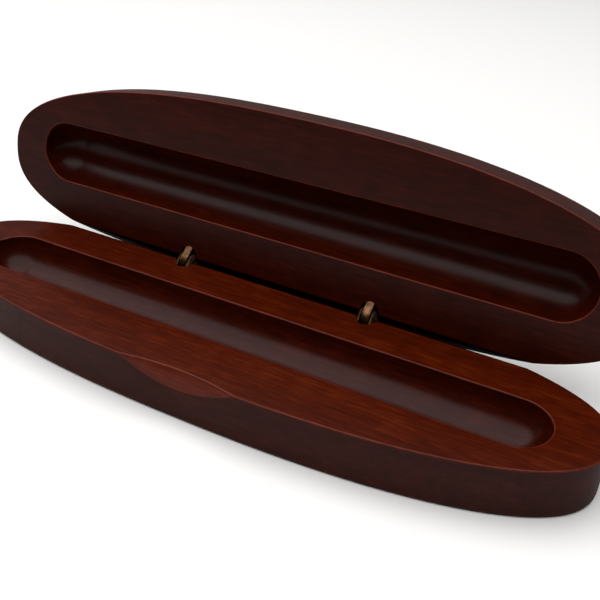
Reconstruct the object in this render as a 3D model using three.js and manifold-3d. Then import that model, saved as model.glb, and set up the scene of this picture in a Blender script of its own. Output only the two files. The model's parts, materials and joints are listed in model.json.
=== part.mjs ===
// Fountain pen case: two solid wooden halves, each with a round-bottomed pen groove, joined along their
// bevelled back edges by two brass barrel hinges. It is modelled open, the lid leaning back on the base's
// bevel. Millimetres. +X runs along the case, -Y is the front, +Z is up. The origin is on the underside of
// the base, under the long axis of the oval that both halves are cut from.
import * as THREE from "three";
import { mergeVertices } from "three/addons/utils/BufferGeometryUtils.js";
import Module from "manifold-3d";

// Outline of both halves: an oval, a little flatter and squarer along the back than along the front. A
// power of 2 would be an ellipse.
const LENGTH = 175;
const FRONT_HALF_WIDTH = 24.8;
const FRONT_POWER = 2.36;
const BACK_HALF_WIDTH = 22.8;
const BACK_POWER = 2.6;
const OUTLINE_STEPS = 104;

// Thickness of each half, and the rounding of its outer edge.
const BASE_HEIGHT = 12.6;
const BASE_ROUND = 1;
const LID_HEIGHT = 12;
const LID_ROUND = 4;
const CLOSED_GAP = 0.1; // between the two mating faces when the case is shut

// Pen groove, the same in both halves: a ball-nosed cut whose centre line lies in the mating face.
const GROOVE_LENGTH = 153;
const GROOVE_RADIUS = 8.05;
const GROOVE_Y = -1.7;

// Bevel along the back of each mating face. It leaves the face a straight back edge, gives the lid room to
// open, and stops it there: the two bevels would touch a little past the open angle.
const EDGE_Y = 17.5; // the straight back edge of both mating faces
const BEVEL_ANGLE = THREE.MathUtils.degToRad(45);

// Thumb scoop: a shallow hollow in the top front edge of the base, for lifting the lid.
const SCOOP_HALF_WIDTH = 15.5;
const SCOOP_DEPTH = 1.9; // measured inwards, on the mating face
const SCOOP_HEIGHT = 4.1; // measured down the front wall

// Barrel hinges, let into holes drilled square to the two bevels, close to the straight back edges.
const HINGE_X = 26.5;
const HINGE_BEHIND_EDGE = 0.9; // from the straight back edges to the pin's centre line
const OPEN_ANGLE = THREE.MathUtils.degToRad(100);
const BARREL_RADIUS = 2.5;
const BARREL_START = 2.8; // from the pin's centre line to the full round barrel
const BARREL_END = 9.8;
const BARREL_RINGS = 3; // glue rings turned in the barrel
const RING_DEPTH = 0.25;
const RING_WIDTH = 0.8;
const TONGUE_HALF_WIDTH = 1.1;
const FORK_GAP_HALF_WIDTH = 1.45;
const PIN_RADIUS = 0.8;
const PIN_HOLE_RADIUS = 0.88;
const PIN_LENGTH = 4.6;
const PIN_CHAMFER = 0.15;
const HOLE_CLEARANCE = 0.15; // around the barrel in its drilled hole
const ROUND_SEGMENTS = 32;

const HINGE_Y = EDGE_Y + HINGE_BEHIND_EDGE;
const HINGE_Z = BASE_HEIGHT + CLOSED_GAP / 2;

const wasm = await Module();
wasm.setup();

const wood = new THREE.MeshStandardMaterial({ color: 0x4e1a0a, roughness: 0.35 });
const brass = new THREE.MeshStandardMaterial({ color: 0x9c7a4c, roughness: 0.35, metalness: 1 });

// A three.js geometry as a solid that can be joined and cut.
function solid(geometry) {
  const bare = geometry.index ? geometry.toNonIndexed() : geometry.clone();
  bare.deleteAttribute("normal");
  bare.deleteAttribute("uv");
  const merged = mergeVertices(bare, 1e-3);
  const vertProperties = new Float32Array(merged.getAttribute("position").array);
  const triVerts = new Uint32Array(merged.index.array);
  return new wasm.Manifold(new wasm.Mesh({ numProp: 3, vertProperties, triVerts }));
}

// A solid back as a geometry for a mesh.
function geometryOf(made) {
  const mesh = made.getMesh();
  const geometry = new THREE.BufferGeometry();
  geometry.setAttribute("position", new THREE.BufferAttribute(mesh.vertProperties, 3));
  geometry.setIndex(new THREE.BufferAttribute(mesh.triVerts, 1));
  geometry.computeVertexNormals();
  return geometry;
}

// A round bar of the given length, centred on the origin and lying along X.
function barAlongX(radius, length) {
  return new THREE.CylinderGeometry(radius, radius, length, ROUND_SEGMENTS).rotateZ(-Math.PI / 2);
}

// The oval: its front half and its back half join end to end at the two tips.
function outline() {
  const points = [];
  for (let i = 0; i < OUTLINE_STEPS; i++) {
    const angle = (2 * Math.PI * i) / OUTLINE_STEPS;
    const back = i < OUTLINE_STEPS / 2;
    const power = 2 / (back ? BACK_POWER : FRONT_POWER);
    const halfWidth = back ? BACK_HALF_WIDTH : FRONT_HALF_WIDTH;
    const swell = (value) => Math.sign(value) * Math.abs(value) ** power;
    const [x, y] = [(LENGTH / 2) * swell(Math.cos(angle)), halfWidth * swell(Math.sin(angle))];
    points.push(new THREE.Vector2(x, y));
  }
  return new THREE.Shape(points);
}

// A block of the outline, rounded along its far edge, sawn flat at the mating face, which is left at z = 0,
// and bevelled along the back of that face. It fills z from 0 to height.
function halfBlock(height, round) {
  const block = solid(
    new THREE.ExtrudeGeometry(outline(), {
      depth: height,
      bevelThickness: round,
      bevelSize: round,
      bevelOffset: -round,
      bevelSegments: 8,
    }).translate(0, 0, -round),
  );
  const waste = new THREE.BoxGeometry(2 * LENGTH, 2 * LENGTH, 2 * LENGTH).translate(0, 0, -LENGTH);
  const bevel = [0, -Math.sin(BEVEL_ANGLE), Math.cos(BEVEL_ANGLE)]; // square to the bevel, into the wood
  return block.subtract(solid(waste)).trimByPlane(bevel, -EDGE_Y * Math.sin(BEVEL_ANGLE));
}

// The cut for the pen: a capsule lying along X, half of it below the mating face.
function grooveCutter(faceZ) {
  const straight = GROOVE_LENGTH - 2 * GROOVE_RADIUS;
  const capsule = new THREE.CapsuleGeometry(GROOVE_RADIUS, straight, 10, ROUND_SEGMENTS);
  return solid(capsule.rotateZ(Math.PI / 2).translate(0, GROOVE_Y, faceZ));
}

// The cut for one hinge barrel: a drilled hole that runs out through the bevel and the edge beside it.
function barrelHoleCutter(tilt, hingeX) {
  const runOut = BARREL_END / 2;
  const length = BARREL_END + HOLE_CLEARANCE + runOut;
  const radius = BARREL_RADIUS + HOLE_CLEARANCE;
  const hole = new THREE.CylinderGeometry(radius, radius, length, ROUND_SEGMENTS).rotateX(Math.PI / 2);
  hole.translate(0, 0, length / 2 - runOut).rotateX(tilt).translate(hingeX, HINGE_Y, HINGE_Z);
  return solid(hole);
}

// The cut for the thumb: a wide drum, leaning forwards, that bites the top front edge.
function scoopCutter() {
  const lean = Math.atan2(SCOOP_DEPTH, SCOOP_HEIGHT);
  const sag = SCOOP_DEPTH * Math.cos(lean) * 0.9; // the front wall falls back by about a tenth of the depth
  const radius = (SCOOP_HALF_WIDTH ** 2 + sag ** 2) / (2 * sag);
  const reach = Math.asin((1.5 * SCOOP_HALF_WIDTH) / radius);
  const drum = new THREE.Shape();
  drum.absarc(0, -radius, radius, Math.PI / 2 + reach, Math.PI / 2 - reach, true);
  drum.lineTo(radius * Math.sin(reach), -SCOOP_HALF_WIDTH);
  drum.lineTo(-radius * Math.sin(reach), -SCOOP_HALF_WIDTH);
  const below = 3 * SCOOP_HEIGHT;
  const shape = { depth: 2 * below, curveSegments: 28, bevelEnabled: false };
  const cutter = new THREE.ExtrudeGeometry(drum, shape);
  cutter.translate(0, 0, -below).rotateX(-lean).translate(0, SCOOP_DEPTH - FRONT_HALF_WIDTH, BASE_HEIGHT);
  return solid(cutter);
}

// The base and the lid, both in the closed position.
function baseGeometry() {
  let base = halfBlock(BASE_HEIGHT, BASE_ROUND).mirror([0, 0, 1]).translate([0, 0, BASE_HEIGHT]);
  base = base.subtract(grooveCutter(BASE_HEIGHT)).subtract(scoopCutter());
  for (const x of [-HINGE_X, HINGE_X]) base = base.subtract(barrelHoleCutter(Math.PI - BEVEL_ANGLE, x));
  return geometryOf(base);
}

function lidGeometry() {
  const faceZ = BASE_HEIGHT + CLOSED_GAP;
  let lid = halfBlock(LID_HEIGHT, LID_ROUND).translate([0, 0, faceZ]).subtract(grooveCutter(faceZ));
  for (const x of [-HINGE_X, HINGE_X]) lid = lid.subtract(barrelHoleCutter(BEVEL_ANGLE, x));
  return geometryOf(lid);
}

// The turned barrel along +Z, from its shoulder to its far end, with rings for the glue.
function barrelBody() {
  const profile = [new THREE.Vector2(0, BARREL_START), new THREE.Vector2(BARREL_RADIUS, BARREL_START)];
  const pitch = (BARREL_END - BARREL_START) / (BARREL_RINGS + 1);
  for (let ring = 1; ring <= BARREL_RINGS; ring++) {
    const middle = BARREL_START + ring * pitch;
    const low = middle - RING_WIDTH / 2;
    const high = middle + RING_WIDTH / 2;
    const bottom = BARREL_RADIUS - RING_DEPTH;
    profile.push(new THREE.Vector2(BARREL_RADIUS, low), new THREE.Vector2(bottom, low));
    profile.push(new THREE.Vector2(bottom, high), new THREE.Vector2(BARREL_RADIUS, high));
  }
  profile.push(new THREE.Vector2(BARREL_RADIUS, BARREL_END - RING_DEPTH));
  profile.push(new THREE.Vector2(BARREL_RADIUS - RING_DEPTH, BARREL_END), new THREE.Vector2(0, BARREL_END));
  return solid(new THREE.LatheGeometry(profile, ROUND_SEGMENTS).rotateX(Math.PI / 2));
}

// A leaf of the knuckle: a slice across X, from lowX to highX, of the rod with its end turned to a ball about
// the pin. The ball turns freely in the hole drilled for the other barrel.
function leaf(lowX, highX) {
  const rod = new THREE.CapsuleGeometry(BARREL_RADIUS, BARREL_START, 10, ROUND_SEGMENTS);
  const slice = new THREE.BoxGeometry(highX - lowX, 4 * BARREL_RADIUS, 4 * BARREL_END);
  slice.translate((lowX + highX) / 2, 0, 0);
  return solid(rod.translate(0, BARREL_START / 2, 0).rotateX(Math.PI / 2)).intersect(solid(slice));
}

function barrelGeometry(leaves) {
  let barrel = barrelBody();
  for (const [lowX, highX] of leaves) barrel = barrel.add(leaf(lowX, highX));
  return geometryOf(barrel.subtract(solid(barAlongX(PIN_HOLE_RADIUS, 3 * BARREL_RADIUS))));
}

function pinGeometry() {
  const end = PIN_LENGTH / 2;
  const profile = [
    new THREE.Vector2(0, -end),
    new THREE.Vector2(PIN_RADIUS - PIN_CHAMFER, -end),
    new THREE.Vector2(PIN_RADIUS, -end + PIN_CHAMFER),
    new THREE.Vector2(PIN_RADIUS, end - PIN_CHAMFER),
    new THREE.Vector2(PIN_RADIUS - PIN_CHAMFER, end),
    new THREE.Vector2(0, end),
  ];
  return new THREE.LatheGeometry(profile, ROUND_SEGMENTS).rotateZ(-Math.PI / 2);
}

function named(name, geometry, material) {
  const mesh = new THREE.Mesh(geometry, material);
  mesh.name = name;
  return mesh;
}

const penCase = new THREE.Group();

// Everything on the lid turns about the pins: the group's origin is on their centre line.
const lidGroup = new THREE.Group();
lidGroup.position.set(0, HINGE_Y, HINGE_Z);
lidGroup.rotation.x = -OPEN_ANGLE;
penCase.add(lidGroup);

penCase.add(named("base", baseGeometry(), wood));
const lid = named("lid", lidGeometry(), wood);
lid.position.set(0, -HINGE_Y, -HINGE_Z);
lidGroup.add(lid);

const forkLeaves = [
  [-BARREL_RADIUS, -FORK_GAP_HALF_WIDTH],
  [FORK_GAP_HALF_WIDTH, BARREL_RADIUS],
];
const tongueLeaf = [[-TONGUE_HALF_WIDTH, TONGUE_HALF_WIDTH]];

for (const [side, x] of [
  ["left", -HINGE_X],
  ["right", HINGE_X],
]) {
  const baseBarrel = named(side + "_base_barrel", barrelGeometry(forkLeaves), brass);
  baseBarrel.position.set(x, HINGE_Y, HINGE_Z);
  baseBarrel.rotation.x = Math.PI - BEVEL_ANGLE;
  penCase.add(baseBarrel);

  const lidBarrel = named(side + "_lid_barrel", barrelGeometry(tongueLeaf), brass);
  lidBarrel.position.x = x;
  lidBarrel.rotation.x = BEVEL_ANGLE;
  lidGroup.add(lidBarrel);

  const pin = named(side + "_hinge_pin", pinGeometry(), brass);
  pin.position.set(x, HINGE_Y, HINGE_Z);
  penCase.add(pin);
}

export default penCase;
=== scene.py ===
"""Wooden fountain pen case with brass barrel hinges, shown open on a pale studio table.

Metres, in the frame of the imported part: +X along the case, -Y towards the front, +Z up.
"""

import json
import math

import bmesh
import bpy
from mathutils import Matrix, Vector


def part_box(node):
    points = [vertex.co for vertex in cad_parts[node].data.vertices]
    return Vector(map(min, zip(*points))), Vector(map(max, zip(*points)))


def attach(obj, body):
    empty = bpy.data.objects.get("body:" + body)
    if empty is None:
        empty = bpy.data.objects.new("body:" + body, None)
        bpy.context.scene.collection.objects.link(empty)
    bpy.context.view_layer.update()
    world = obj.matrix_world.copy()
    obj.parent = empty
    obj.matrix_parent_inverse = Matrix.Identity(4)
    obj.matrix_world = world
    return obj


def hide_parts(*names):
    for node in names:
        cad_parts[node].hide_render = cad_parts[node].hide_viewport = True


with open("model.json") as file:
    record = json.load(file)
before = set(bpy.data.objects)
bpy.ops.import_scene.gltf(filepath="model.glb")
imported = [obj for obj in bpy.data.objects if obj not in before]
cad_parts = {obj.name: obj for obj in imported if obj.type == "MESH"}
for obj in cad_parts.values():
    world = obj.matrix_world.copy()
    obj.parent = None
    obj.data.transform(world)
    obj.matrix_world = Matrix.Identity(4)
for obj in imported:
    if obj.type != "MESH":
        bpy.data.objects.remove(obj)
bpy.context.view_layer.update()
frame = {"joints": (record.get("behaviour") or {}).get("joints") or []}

MM = 0.001


# --------------------------------------------------------------------------------------------------------
# Camera: a normal lens close to the open case, looking down on it from the front right. The base runs a
# little past the view at both ends.

CAMERA_PLACE = Vector((89.6, -139.9, 122.0)) * MM
CAMERA_AZIMUTH = math.radians(27.35)  # to the right of straight in front
CAMERA_ELEVATION = math.radians(31.9)
CAMERA_ROLL = math.radians(2.28)
CAMERA_LENS = 49.9  # on a 36 mm sensor

camera_data = bpy.data.cameras.new("camera")
camera_data.lens = CAMERA_LENS
camera_data.sensor_width = 36
camera_data.clip_start = 0.005
camera = bpy.data.objects.new("camera", camera_data)
bpy.context.scene.collection.objects.link(camera)
look = Vector(
    (
        -math.sin(CAMERA_AZIMUTH) * math.cos(CAMERA_ELEVATION),
        math.cos(CAMERA_AZIMUTH) * math.cos(CAMERA_ELEVATION),
        -math.sin(CAMERA_ELEVATION),
    )
)
turn = look.to_track_quat("-Z", "Y").to_matrix() @ Matrix.Rotation(CAMERA_ROLL, 3, "Z")
camera.matrix_world = Matrix.Translation(CAMERA_PLACE) @ turn.to_4x4()
bpy.context.scene.camera = camera


# --------------------------------------------------------------------------------------------------------
# Table top: a pale laminate sheet on a flat board, much larger than the view. Its matt face is pressed
# with a fine speckle.

FLOOR_HALF_SIZE = 3.0
FLOOR_COLOUR = "#e4e3e1"


def linear(code):
    """An sRGB hex colour as linear red, green, blue and alpha."""
    shares = [int(code[i : i + 2], 16) / 255 for i in (1, 3, 5)]
    return (*[s / 12.92 if s <= 0.04045 else ((s + 0.055) / 1.055) ** 2.4 for s in shares], 1.0)


def add_node(tree, kind, inputs=None, **settings):
    """Adds a node with these settings, and fills its inputs with values or with links from sockets."""
    made = tree.nodes.new(kind)
    for name, value in settings.items():
        setattr(made, name, value)
    for name, value in (inputs or {}).items():
        if isinstance(value, bpy.types.NodeSocket):
            tree.links.new(value, made.inputs[name])
        else:
            made.inputs[name].default_value = value
    return made


def new_material(name):
    """An empty node material, and its tree."""
    made = bpy.data.materials.new(name)
    made.use_nodes = True
    made.node_tree.nodes.clear()
    return made, made.node_tree


def object_from(name, shape, *materials):
    """A finished bmesh as an object in the scene, its place in its mesh."""
    mesh = bpy.data.meshes.new(name)
    shape.to_mesh(mesh)
    shape.free()
    for material in materials:
        mesh.materials.append(material)
    made = bpy.data.objects.new(name, mesh)
    bpy.context.scene.collection.objects.link(made)
    return made


laminate, tree = new_material("matt pale laminate")
place = add_node(tree, "ShaderNodeTexCoord").outputs["Object"]
speckle = add_node(
    tree, "ShaderNodeTexNoise", {"Vector": place, "Scale": 1 / (0.8 * MM), "Detail": 1.0}
).outputs["Fac"]
bump = add_node(
    tree, "ShaderNodeBump", {"Height": speckle, "Strength": 0.05, "Distance": 0.02 * MM}
).outputs["Normal"]
shader = add_node(
    tree,
    "ShaderNodeBsdfPrincipled",
    {
        "Base Color": linear(FLOOR_COLOUR),
        "Roughness": 0.7,
        "Specular IOR Level": 0.2,
        "Normal": bump,
    },
)
add_node(tree, "ShaderNodeOutputMaterial", {"Surface": shader.outputs["BSDF"]})

shape = bmesh.new()
bmesh.ops.create_grid(shape, x_segments=1, y_segments=1, size=FLOOR_HALF_SIZE)
table = object_from("table_top", shape, laminate)


# --------------------------------------------------------------------------------------------------------
# Studio light: one wide oval soft box overhead, and a pale wall behind the table and to its left. The
# room in front of the table is dark, so the lacquer stays clear where it faces the camera.

SOFTBOX_SIZE = (2.0, 1.4)
SOFTBOX_PLACE = (-0.3, -0.12, 0.9)
SOFTBOX_WATTS = 20.0
WALL_HEADING = (-0.45, 0.9, 0.0)
WALL_FADE = (-0.2, 0.6)  # cosines off that heading, from the dark room to the pale wall
WALL_LIGHT = 0.5
ROOM_LIGHT = 0.02

softbox_data = bpy.data.lights.new("softbox", "AREA")
softbox_data.shape = "ELLIPSE"
softbox_data.size, softbox_data.size_y = SOFTBOX_SIZE
softbox_data.energy = SOFTBOX_WATTS
softbox = bpy.data.objects.new("softbox", softbox_data)
softbox.location = SOFTBOX_PLACE
bpy.context.scene.collection.objects.link(softbox)

world = bpy.data.worlds.new("studio")
world.use_nodes = True
tree = world.node_tree
tree.nodes.clear()
heading = add_node(tree, "ShaderNodeTexCoord").outputs["Generated"]
backwards = add_node(
    tree, "ShaderNodeVectorMath", {0: heading, 1: WALL_HEADING}, operation="DOT_PRODUCT"
).outputs["Value"]
strength = add_node(
    tree,
    "ShaderNodeMapRange",
    {
        "Value": backwards,
        "From Min": WALL_FADE[0],
        "From Max": WALL_FADE[1],
        "To Min": ROOM_LIGHT,
        "To Max": WALL_LIGHT,
    },
    interpolation_type="SMOOTHSTEP",
).outputs["Result"]
light = add_node(tree, "ShaderNodeBackground", {"Color": linear("#ffffff"), "Strength": strength})
add_node(tree, "ShaderNodeOutputWorld", {"Surface": light.outputs["Background"]})
bpy.context.scene.world = world
bpy.context.scene.view_settings.view_transform = "Standard"


# --------------------------------------------------------------------------------------------------------
# Base: one block of mahogany, sawn to an oval and bevelled along its back top edge, with a ball-nosed cut
# for the pen, a sanded thumb scoop, and barrel holes drilled square to the bevel. It is stained reddish
# brown and lacquered satin, with the stain rubbed thinner in the scoop. Its flat top is painted lighter
# as painted light from the overhead lamp, and the eased arrises are lighter: partly rubbed stain, partly
# a painted highlight.

base_low, base_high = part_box("base")
HALF_LENGTH = (base_high.x - base_low.x) / 2
BASE_HEIGHT = base_high.z
FRONT_HALF_WIDTH = -base_low.y
FRONT_POWER = 2.36
BACK_HALF_WIDTH = base_high.y
BACK_POWER = 2.6
OUTLINE_STEPS = 384
BASE_ROUND = 1 * MM
BASE_ROUND_STEPS = 5

EDGE_Y = 17.5 * MM  # the straight back edge of both mating faces
BEVEL_ANGLE = math.radians(45)

GROOVE_RADIUS = 8.05 * MM
GROOVE_HALF_STRAIGHT = 68.45 * MM
GROOVE_Y = -1.7 * MM
GROOVE_STEPS = 96

SCOOP_HALF_WIDTH = 15.5 * MM
SCOOP_DEPTH = 1.9 * MM
SCOOP_HEIGHT = 4.1 * MM
SCOOP_STEPS = 360
SCOOP_UPWARDS = (0.3, 0.6)  # how far the scoop's face leans up, as the height of its unit normal
WALL_SAG = 0.1  # how far the wall itself falls back across the scoop, as a share of its depth

ARRIS = 0.3 * MM
ARRIS_STEPS = 3
ARRIS_ANGLE = math.radians(35)
BAR_STEPS = 64
MESH_NEAR = 1e-6

joint = frame["joints"][0]
HINGE = Vector(joint["pos_m"])
OPEN_ANGLE = math.radians(joint["range_deg"][1])
HINGE_XS = {side: sum(c.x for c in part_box(side + "_hinge_pin")) / 2 for side in ("left", "right")}
BARREL_RADIUS = 2.5 * MM
BARREL_END = 9.8 * MM
HOLE_CLEARANCE = 0.15 * MM

LACQUER_SHEEN = 0.22
LACQUER_ROUGHNESS = 0.27
STAINED_TONES = ("#210500", "#2e0801", "#3b0e03")
# Painted light: lighter tones for the base's flat top, which faces the overhead lamp.
PAINTED_LIT_TOP_TONES = ("#2d0800", "#3d0d00", "#4e1803")
# Arris tones: partly stain rubbed thin by wear, partly a painted highlight where the edges catch the
# light. The scoop takes them as wear.
RUBBED_AND_HIGHLIGHT_TONES = ("#451509", "#541e10", "#632818")


def mahogany(name, tones):
    """Mahogany under satin lacquer: straight grain along X, short dark pores, and a slight cross fire.

    The lacquer gives a soft sheen over the grain, with the pores showing faintly in it.
    """
    made, tree = new_material(name)
    place = add_node(tree, "ShaderNodeTexCoord").outputs["Object"]

    def streaks(length, width, detail, distortion):
        """Noise drawn out along the grain, with streaks of that length and width."""
        stretch = (1 / length, 1 / width, 1 / width)
        along = add_node(tree, "ShaderNodeMapping", {"Vector": place, "Scale": stretch})
        return add_node(
            tree,
            "ShaderNodeTexNoise",
            {
                "Vector": along.outputs["Vector"],
                "Scale": 1.0,
                "Detail": detail,
                "Distortion": distortion,
            },
        ).outputs["Fac"]

    figure = streaks(45 * MM, 4 * MM, 3.0, 0.6)
    fibre = streaks(7 * MM, 0.5 * MM, 2.0, 0.0)
    ripple = streaks(7 * MM, 9 * MM, 2.0, 0.4)
    pore_noise = streaks(3 * MM, 0.28 * MM, 1.0, 0.0)
    grain = add_node(
        tree, "ShaderNodeMix", {"Factor": 0.65, "A": figure, "B": fibre}, data_type="FLOAT"
    ).outputs["Result"]
    tone = add_node(
        tree, "ShaderNodeMix", {"Factor": 0.2, "A": grain, "B": ripple}, data_type="FLOAT"
    ).outputs["Result"]
    ramp = add_node(tree, "ShaderNodeValToRGB", {"Fac": tone})
    dark, middle, light = tones
    ramp.color_ramp.elements[0].position = 0.34
    ramp.color_ramp.elements[0].color = linear(dark)
    ramp.color_ramp.elements[1].position = 0.66
    ramp.color_ramp.elements[1].color = linear(light)
    ramp.color_ramp.elements.new(0.5).color = linear(middle)
    pores = add_node(
        tree, "ShaderNodeMapRange", {"Value": pore_noise, "From Min": 0.62, "From Max": 0.74}
    ).outputs["Result"]
    colour = add_node(
        tree, "ShaderNodeMix", {0: pores, 6: ramp.outputs["Color"], 7: linear(dark)}, data_type="RGBA"
    ).outputs[2]
    fine = add_node(
        tree, "ShaderNodeMix", {"Factor": 0.5, "A": fibre, "B": pores}, data_type="FLOAT"
    ).outputs["Result"]
    bump = add_node(
        tree, "ShaderNodeBump", {"Height": fine, "Strength": 0.12, "Distance": 0.03 * MM}
    ).outputs["Normal"]
    shader = add_node(
        tree,
        "ShaderNodeBsdfPrincipled",
        {
            "Base Color": colour,
            "Roughness": 0.5,
            "Specular IOR Level": 0.0,
            "Normal": bump,
            "Coat Weight": LACQUER_SHEEN,
            "Coat Roughness": LACQUER_ROUGHNESS,
            "Coat Normal": bump,
        },
    )
    add_node(tree, "ShaderNodeOutputMaterial", {"Surface": shader.outputs["BSDF"]})
    return made


stained = mahogany("lacquered mahogany", STAINED_TONES)
rubbed_and_highlight = mahogany("lacquered mahogany, stain rubbed thin, painted highlight", RUBBED_AND_HIGHLIGHT_TONES)
painted_lit_top = mahogany("lacquered mahogany, painted lit top", PAINTED_LIT_TOP_TONES)
STAINED, RUBBED_AND_HIGHLIGHT, PAINTED_LIT_TOP = range(3)  # their places in a half's list of materials


def move(shape, matrix):
    """Moves a whole bmesh."""
    bmesh.ops.transform(shape, matrix=matrix, verts=shape.verts)


def half_block(height, rounding, round_steps):
    """The oval block with its mating face at z = 0: rounded along the far edge, bevelled at the back."""
    shape = bmesh.new()
    bmesh.ops.create_cone(
        shape, cap_ends=True, segments=OUTLINE_STEPS, radius1=1, radius2=1, depth=height
    )
    for vert in shape.verts:
        x, y, z = vert.co
        half_width, power = (BACK_HALF_WIDTH, BACK_POWER) if y > 0 else (FRONT_HALF_WIDTH, FRONT_POWER)
        vert.co.x = math.copysign(HALF_LENGTH * abs(x) ** (2 / power), x)
        vert.co.y = math.copysign(half_width * abs(y) ** (2 / power), y)
        vert.co.z = z + height / 2
    rim = [e for e in shape.edges if all(abs(v.co.z - height) < MESH_NEAR for v in e.verts)]
    bmesh.ops.bevel(
        shape,
        geom=rim,
        offset=rounding,
        segments=round_steps,
        profile=0.5,
        affect="EDGES",
        material=-1,
    )
    cut = bmesh.ops.bisect_plane(
        shape,
        geom=shape.verts[:] + shape.edges[:] + shape.faces[:],
        plane_co=(0, EDGE_Y, 0),
        plane_no=(0, math.sin(BEVEL_ANGLE), -math.cos(BEVEL_ANGLE)),
        clear_outer=True,
    )["geom_cut"]
    bmesh.ops.contextual_create(shape, geom=[e for e in cut if isinstance(e, bmesh.types.BMEdge)])
    bmesh.ops.recalc_face_normals(shape, faces=shape.faces)
    return shape


def groove_cutter(face_z):
    """A capsule lying along X: two quarter circles and a straight, spun about the groove's line."""
    shape = bmesh.new()
    end_steps = GROOVE_STEPS // 4
    profile = []
    for side, order in ((-1, range(end_steps + 1)), (1, range(end_steps, -1, -1))):
        for i in order:
            angle = math.pi / 2 * i / end_steps
            x = side * (GROOVE_HALF_STRAIGHT + GROOVE_RADIUS * math.cos(angle))
            profile.append(shape.verts.new((x, 0, GROOVE_RADIUS * math.sin(angle))))
    edges = [shape.edges.new(pair) for pair in zip(profile, profile[1:])]
    bmesh.ops.spin(
        shape,
        geom=profile + edges,
        cent=(0, 0, 0),
        axis=(1, 0, 0),
        angle=2 * math.pi,
        steps=GROOVE_STEPS,
        use_merge=True,
    )
    bmesh.ops.remove_doubles(shape, verts=shape.verts, dist=1e-7)
    bmesh.ops.recalc_face_normals(shape, faces=shape.faces)
    move(shape, Matrix.Translation((0, GROOVE_Y, face_z)))
    return shape


def round_bar(radius, low, high, steps=BAR_STEPS):
    """A plain round bar along Z from low to high."""
    shape = bmesh.new()
    bmesh.ops.create_cone(
        shape, cap_ends=True, segments=steps, radius1=radius, radius2=radius, depth=high - low
    )
    move(shape, Matrix.Translation((0, 0, (low + high) / 2)))
    return shape


def barrel_hole(tilt, hinge_x):
    """The drilled hole for one barrel, in the closed position, running out through the bevel."""
    shape = round_bar(BARREL_RADIUS + HOLE_CLEARANCE, -BARREL_END / 2, BARREL_END + HOLE_CLEARANCE)
    move(shape, Matrix.Translation((hinge_x, HINGE.y, HINGE.z)) @ Matrix.Rotation(tilt, 4, "X"))
    return shape


def scoop_cutter():
    """A wide drum that leans forwards: it bites deepest into the top edge and runs out down the wall."""
    lean = math.atan2(SCOOP_DEPTH, SCOOP_HEIGHT)
    sag = SCOOP_DEPTH * math.cos(lean) * (1 - WALL_SAG)
    radius = (SCOOP_HALF_WIDTH**2 + sag**2) / (2 * sag)
    shape = round_bar(radius, -3 * SCOOP_HEIGHT, 3 * SCOOP_HEIGHT, SCOOP_STEPS)
    lean_forwards = Matrix.Rotation(-lean, 4, "X") @ Matrix.Translation((0, -radius, 0))
    move(shape, Matrix.Translation((0, SCOOP_DEPTH - FRONT_HALF_WIDTH, BASE_HEIGHT)) @ lean_forwards)
    return shape


def combine(shape, other, operation):
    """Joins, cuts or intersects two closed bmeshes, and gives back the result. It uses both up."""
    first = object_from("cut", shape)
    second = object_from("cutter", other)
    boolean = first.modifiers.new("cut", "BOOLEAN")
    boolean.object = second
    boolean.operation = operation
    boolean.solver = "EXACT"
    result = bmesh.new()
    result.from_object(first, bpy.context.evaluated_depsgraph_get())
    for made in (first, second):
        mesh = made.data
        bpy.data.objects.remove(made)
        bpy.data.meshes.remove(mesh)
    bmesh.ops.remove_doubles(result, verts=result.verts, dist=MESH_NEAR)
    return result


def ease_arrises(shape, width, segments, material=-1):
    """Rounds every sharp edge, gives the narrow new faces that material, and gives them back."""
    sharp = [e for e in shape.edges if e.is_manifold and e.calc_face_angle() > ARRIS_ANGLE]
    return bmesh.ops.bevel(
        shape,
        geom=sharp,
        offset=width,
        segments=segments,
        profile=0.5,
        affect="EDGES",
        clamp_overlap=False,
        material=material,
    )["faces"]


def ease_wood(shape):
    """Eases a half's arrises. All but the long edges of the bevel take the lighter arris tones: partly
    stain rubbed thin, partly a painted highlight.
    """
    for face in ease_arrises(shape, ARRIS, ARRIS_STEPS, RUBBED_AND_HIGHLIGHT):
        if face.calc_center_median().y > EDGE_Y - 2 * ARRIS:
            face.material_index = STAINED


def smooth(piece):
    """Smooth shading, led by the large faces, so that flats stay flat up to their eased edges."""
    piece.data.shade_smooth()
    piece.modifiers.new("flats", "WEIGHTED_NORMAL").weight = 80


shape = half_block(BASE_HEIGHT, BASE_ROUND, BASE_ROUND_STEPS)
move(shape, Matrix.Translation((0, 0, BASE_HEIGHT)) @ Matrix.Rotation(math.pi, 4, "Y"))
for cutter in (
    groove_cutter(BASE_HEIGHT),
    scoop_cutter(),
    *[barrel_hole(math.pi - BEVEL_ANGLE, x) for x in HINGE_XS.values()],
):
    shape = combine(shape, cutter, "DIFFERENCE")
ease_wood(shape)
for face in shape.faces:
    middle = face.calc_center_median()
    # The flat top is painted lighter, as painted light from overhead; the scoop takes the rubbed stain.
    if abs(middle.z - BASE_HEIGHT) < MESH_NEAR:
        face.material_index = PAINTED_LIT_TOP
    elif middle.y < -FRONT_HALF_WIDTH / 2 and SCOOP_UPWARDS[0] < face.normal.z < SCOOP_UPWARDS[1]:
        face.material_index = RUBBED_AND_HIGHLIGHT
base = object_from("wooden_base", shape, stained, rubbed_and_highlight, painted_lit_top)
smooth(base)
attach(base, "base")
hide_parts("base")


# --------------------------------------------------------------------------------------------------------
# Lid: the matching half, from the same plank, with the same groove, bevel, hinge holes and stain, but no
# scoop, and a full round along its outer edge. It is shaped as if shut, then swung open about the pins.

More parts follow.
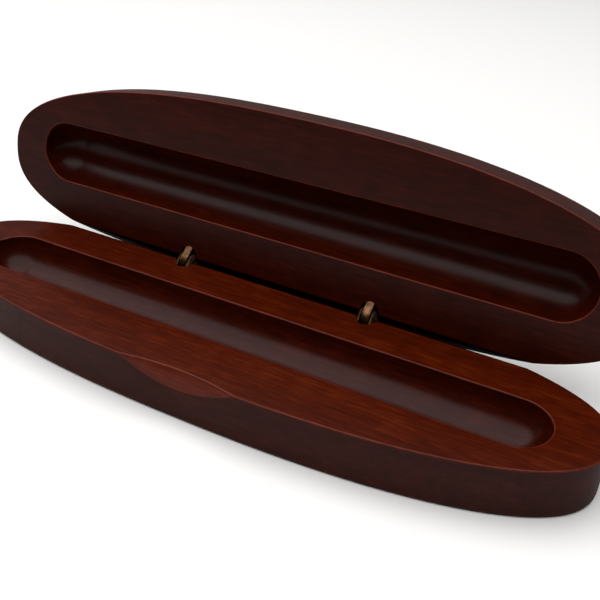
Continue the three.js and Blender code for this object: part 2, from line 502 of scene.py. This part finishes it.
CLOSED_GAP = 2 * (HINGE.z - BASE_HEIGHT)
LID_HEIGHT = 12 * MM
LID_ROUND = 4 * MM
LID_ROUND_STEPS = 12
open_lid = Matrix.Rotation(-OPEN_ANGLE, 4, "X")
swing_open = Matrix.Translation(HINGE) @ open_lid @ Matrix.Translation(-HINGE)

lid_face_z = BASE_HEIGHT + CLOSED_GAP
shape = half_block(LID_HEIGHT, LID_ROUND, LID_ROUND_STEPS)
move(shape, Matrix.Translation((0, 0, lid_face_z)))
for cutter in (groove_cutter(lid_face_z), *[barrel_hole(BEVEL_ANGLE, x) for x in HINGE_XS.values()]):
    shape = combine(shape, cutter, "DIFFERENCE")
ease_wood(shape)
move(shape, swing_open)
lid = object_from("wooden_lid", shape, stained, rubbed_and_highlight)
smooth(lid)
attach(lid, "lid")
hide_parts("lid")


# --------------------------------------------------------------------------------------------------------
# Hinge barrels: turned from 5 mm brass rod, with glue rings, and with a ball at one end that is slotted
# into the leaves of a knuckle: a fork on the base, a tongue on the lid. They are glued into their holes.

BARREL_START = 2.8 * MM
BARREL_RINGS = 3
RING_DEPTH = 0.25 * MM
RING_WIDTH = 0.8 * MM
TONGUE_HALF_WIDTH = 1.1 * MM
FORK_GAP_HALF_WIDTH = 1.45 * MM
BALL_STEPS = 16
PIN_HOLE_RADIUS = 0.88 * MM
PIN_STEPS = 48
LEAF_EASING = 0.15 * MM
LEAF_EASING_STEPS = 4
BRASS = "#72533a"
BRASS_TARNISHED = "#483022"


def dulled_brass(name, bright, tarnished, roughness):
    """Brass that has dulled: brown tarnish in soft patches, and an even haze of fine scratches."""
    made, tree = new_material(name)
    place = add_node(tree, "ShaderNodeTexCoord").outputs["Object"]
    patches = add_node(
        tree, "ShaderNodeTexNoise", {"Vector": place, "Scale": 1 / (1.4 * MM), "Detail": 3.0}
    ).outputs["Fac"]
    ramp = add_node(tree, "ShaderNodeValToRGB", {"Fac": patches})
    ramp.color_ramp.elements[0].position = 0.38
    ramp.color_ramp.elements[0].color = linear(tarnished)
    ramp.color_ramp.elements[1].position = 0.6
    ramp.color_ramp.elements[1].color = linear(bright)
    scratches = add_node(
        tree, "ShaderNodeTexNoise", {"Vector": place, "Scale": 1 / (0.12 * MM), "Detail": 2.0}
    ).outputs["Fac"]
    bump = add_node(
        tree, "ShaderNodeBump", {"Height": scratches, "Strength": 0.3, "Distance": 0.01 * MM}
    ).outputs["Normal"]
    shader = add_node(
        tree,
        "ShaderNodeBsdfPrincipled",
        {
            "Base Color": ramp.outputs["Color"],
            "Metallic": 1.0,
            "Roughness": roughness,
            "Normal": bump,
        },
    )
    add_node(tree, "ShaderNodeOutputMaterial", {"Surface": shader.outputs["BSDF"]})
    return made


aged_brass = dulled_brass("turned brass, aged", BRASS, BRASS_TARNISHED, 0.48)


def block(low, high):
    """A rectangular block between two corners."""
    shape = bmesh.new()
    bmesh.ops.create_cube(shape, size=1)
    low, high = Vector(low), Vector(high)
    move(shape, Matrix.Translation((low + high) / 2) @ Matrix.Diagonal((*(high - low), 1)))
    return shape


def spun(profile, steps=BAR_STEPS):
    """A profile of (radius, height) pairs spun about Z to a closed turning."""
    shape = bmesh.new()
    verts = [shape.verts.new((radius, 0, height)) for radius, height in profile]
    edges = [shape.edges.new(pair) for pair in zip(verts, verts[1:])]
    bmesh.ops.spin(
        shape,
        geom=verts + edges,
        cent=(0, 0, 0),
        axis=(0, 0, 1),
        angle=2 * math.pi,
        steps=steps,
        use_merge=True,
    )
    bmesh.ops.remove_doubles(shape, verts=shape.verts, dist=1e-7)
    bmesh.ops.recalc_face_normals(shape, faces=shape.faces)
    return shape


def barrel_rod():
    """The whole rod along Z: a ball about the pin, a shank with glue rings, and a chamfered far end."""
    ball = [math.pi / 2 * i / BALL_STEPS for i in range(BALL_STEPS + 1)]
    profile = [(BARREL_RADIUS * math.sin(a), -BARREL_RADIUS * math.cos(a)) for a in ball]
    pitch = (BARREL_END - BARREL_START) / (BARREL_RINGS + 1)
    for ring in range(1, BARREL_RINGS + 1):
        low = BARREL_START + ring * pitch - RING_WIDTH / 2
        high = low + RING_WIDTH
        profile += [(BARREL_RADIUS, low), (BARREL_RADIUS - RING_DEPTH, low)]
        profile += [(BARREL_RADIUS - RING_DEPTH, high), (BARREL_RADIUS, high)]
    chamfer = [(BARREL_RADIUS, BARREL_END - RING_DEPTH), (BARREL_RADIUS - RING_DEPTH, BARREL_END)]
    return spun(profile + chamfer + [(0, BARREL_END)])


def hinge_barrel(slots):
    """One barrel along Z, its pin's line along X through the origin, cut by (low x, high x) slots."""
    shape = barrel_rod()
    wide = 2 * BARREL_RADIUS
    for low, high in slots:
        shape = combine(shape, block((low, -wide, -wide), (high, wide, BARREL_START)), "DIFFERENCE")
    bore = round_bar(PIN_HOLE_RADIUS, -wide, wide, PIN_STEPS)
    move(bore, Matrix.Rotation(math.pi / 2, 4, "Y"))
    shape = combine(shape, bore, "DIFFERENCE")
    ease_arrises(shape, LEAF_EASING, LEAF_EASING_STEPS)
    return shape


fork_slots = [(-FORK_GAP_HALF_WIDTH, FORK_GAP_HALF_WIDTH)]
tongue_slots = [(-2 * BARREL_RADIUS, -TONGUE_HALF_WIDTH), (TONGUE_HALF_WIDTH, 2 * BARREL_RADIUS)]

for side, hinge_x in HINGE_XS.items():
    to_hinge = Matrix.Translation((hinge_x, HINGE.y, HINGE.z))
    for half, slots, tilt, swing in (
        ("base", fork_slots, math.pi - BEVEL_ANGLE, Matrix.Identity(4)),
        ("lid", tongue_slots, BEVEL_ANGLE, swing_open),
    ):
        shape = hinge_barrel(slots)
        move(shape, swing @ to_hinge @ Matrix.Rotation(tilt, 4, "X"))
        barrel = object_from(f"{side}_{half}_brass_barrel", shape, aged_brass)
        smooth(barrel)
        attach(barrel, half)
        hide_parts(f"{side}_{half}_barrel")


# --------------------------------------------------------------------------------------------------------
# Hinge pins: short lengths of drawn brass wire, pushed through all three leaves of a knuckle, cut a hair
# short of the ball's outside and peened to a slight dome at both ends.

pin_low, pin_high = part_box("left_hinge_pin")
PIN_RADIUS = (pin_high.z - pin_low.z) / 2
PIN_HALF_LENGTH = (pin_high.x - pin_low.x) / 2
PIN_DOME = 0.2 * MM
DOME_STEPS = 5
WIRE = "#7c5d43"
WIRE_TARNISHED = "#533a28"

drawn_brass = dulled_brass("drawn brass wire", WIRE, WIRE_TARNISHED, 0.4)
dome = [
    (PIN_RADIUS * math.sin(a), PIN_HALF_LENGTH - PIN_DOME * (1 - math.cos(a)))
    for a in (math.pi / 2 * i / DOME_STEPS for i in range(DOME_STEPS + 1))
]

for side, hinge_x in HINGE_XS.items():
    shape = spun([(r, -z) for r, z in dome] + dome[::-1], PIN_STEPS)
    lie_along_x = Matrix.Rotation(math.pi / 2, 4, "Y")
    move(shape, Matrix.Translation((hinge_x, HINGE.y, HINGE.z)) @ lie_along_x)
    pin = object_from(f"{side}_brass_pin", shape, drawn_brass)
    smooth(pin)
    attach(pin, "base")
    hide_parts(f"{side}_hinge_pin")
